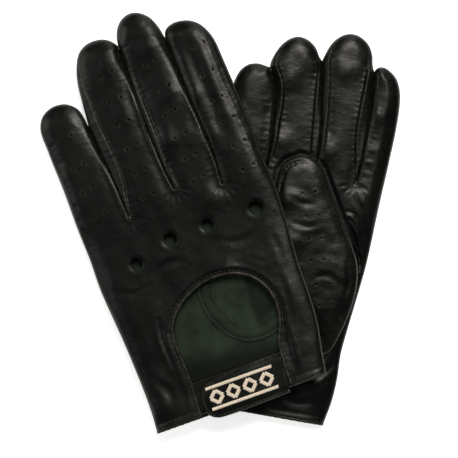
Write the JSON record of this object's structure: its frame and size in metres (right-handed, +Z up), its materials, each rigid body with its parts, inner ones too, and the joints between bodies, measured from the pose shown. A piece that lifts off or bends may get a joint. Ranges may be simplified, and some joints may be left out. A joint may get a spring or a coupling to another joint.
{
  "type": "leather driving gloves",
  "caption": "Pair of unlined leather driving gloves, fanned one on the other, with perforated fingers, knuckle holes, an open back and a hook-and-loop wrist strap.",
  "frame": {"origin": "centre of the bounding box in plan, on the surface the pair lies on", "axes": "+Y towards the fingertips, +X towards the index-finger side of both gloves, +Z up"},
  "size_m": [0.2116, 0.247, 0.0389],
  "materials": {
    "leather": "smooth black nappa with a soft sheen",
    "side_leather": "smooth black nappa side walls",
    "binding_leather": "folded black leather edge",
    "lining": "dark green suede",
    "tape": "woven hook-and-loop tape",
    "thread": "waxed black thread",
    "embroidery": "cream satin-stitch thread"
  },
  "bodies": {
    "right_hand": {"right_back_panel": "leather", "right_palm_panel": "leather", "right_fourchette_little_ring": "side_leather", "right_fourchette_ring_middle": "side_leather", "right_fourchette_middle_index": "side_leather", "right_opening_binding": "binding_leather", "right_wrist_binding": "binding_leather", "right_fastening_tab": "leather", "right_loop_tape": "tape", "right_strap_root": "leather", "right_opening_stitching": "thread", "right_wrist_stitching": "thread"},
    "right_thumb": {"right_thumb_back": "leather", "right_thumb_front": "leather"},
    "right_strap": {"right_strap": "leather", "right_strap_lining": "lining", "right_hook_tape": "tape", "right_strap_emblem": "embroidery", "right_strap_stitching": "thread"},
    "left_hand": {"left_back_panel": "leather", "left_palm_panel": "leather", "left_fourchette_little_ring": "side_leather", "left_fourchette_ring_middle": "side_leather", "left_fourchette_middle_index": "side_leather", "left_opening_binding": "binding_leather", "left_wrist_binding": "binding_leather", "left_fastening_tab": "leather", "left_loop_tape": "tape", "left_strap_root": "leather", "left_opening_stitching": "thread", "left_wrist_stitching": "thread"},
    "left_thumb": {"left_thumb_back": "leather", "left_thumb_front": "leather"},
    "left_strap": {"left_strap": "leather", "left_strap_lining": "lining", "left_hook_tape": "tape", "left_strap_emblem": "embroidery", "left_strap_stitching": "thread"}
  },
  "joints": [
    {"name": "left_glove_lift", "type": "slide", "parent": "right_hand", "child": "left_hand", "axis": [0, 0, 1], "range_m": [0, 0.12]},
    {"name": "left_thumb_swing", "type": "hinge", "parent": "left_hand", "child": "left_thumb", "pos_m": [0.02429, -0.03332, 0.02485], "axis": [0.1729, 0.0146, -0.9848], "range_deg": [0, 45]},
    {"name": "right_thumb_swing", "type": "hinge", "parent": "right_hand", "child": "right_thumb", "pos_m": [0.05629, -0.05444, 0.00915], "axis": [0, 0, -1], "range_deg": [0, 45]},
    {"name": "left_strap_open", "type": "hinge", "parent": "left_hand", "child": "left_strap", "pos_m": [0.03306, -0.08709, 0.03503], "axis": [-0.3345, 0.9413, -0.0447], "range_deg": [0, 150]},
    {"name": "right_strap_open", "type": "hinge", "parent": "right_hand", "child": "right_strap", "pos_m": [0.03874, -0.10618, -0.00015], "axis": [-0.1736, -0.9848, 0], "range_deg": [0, 150]}
  ]
}
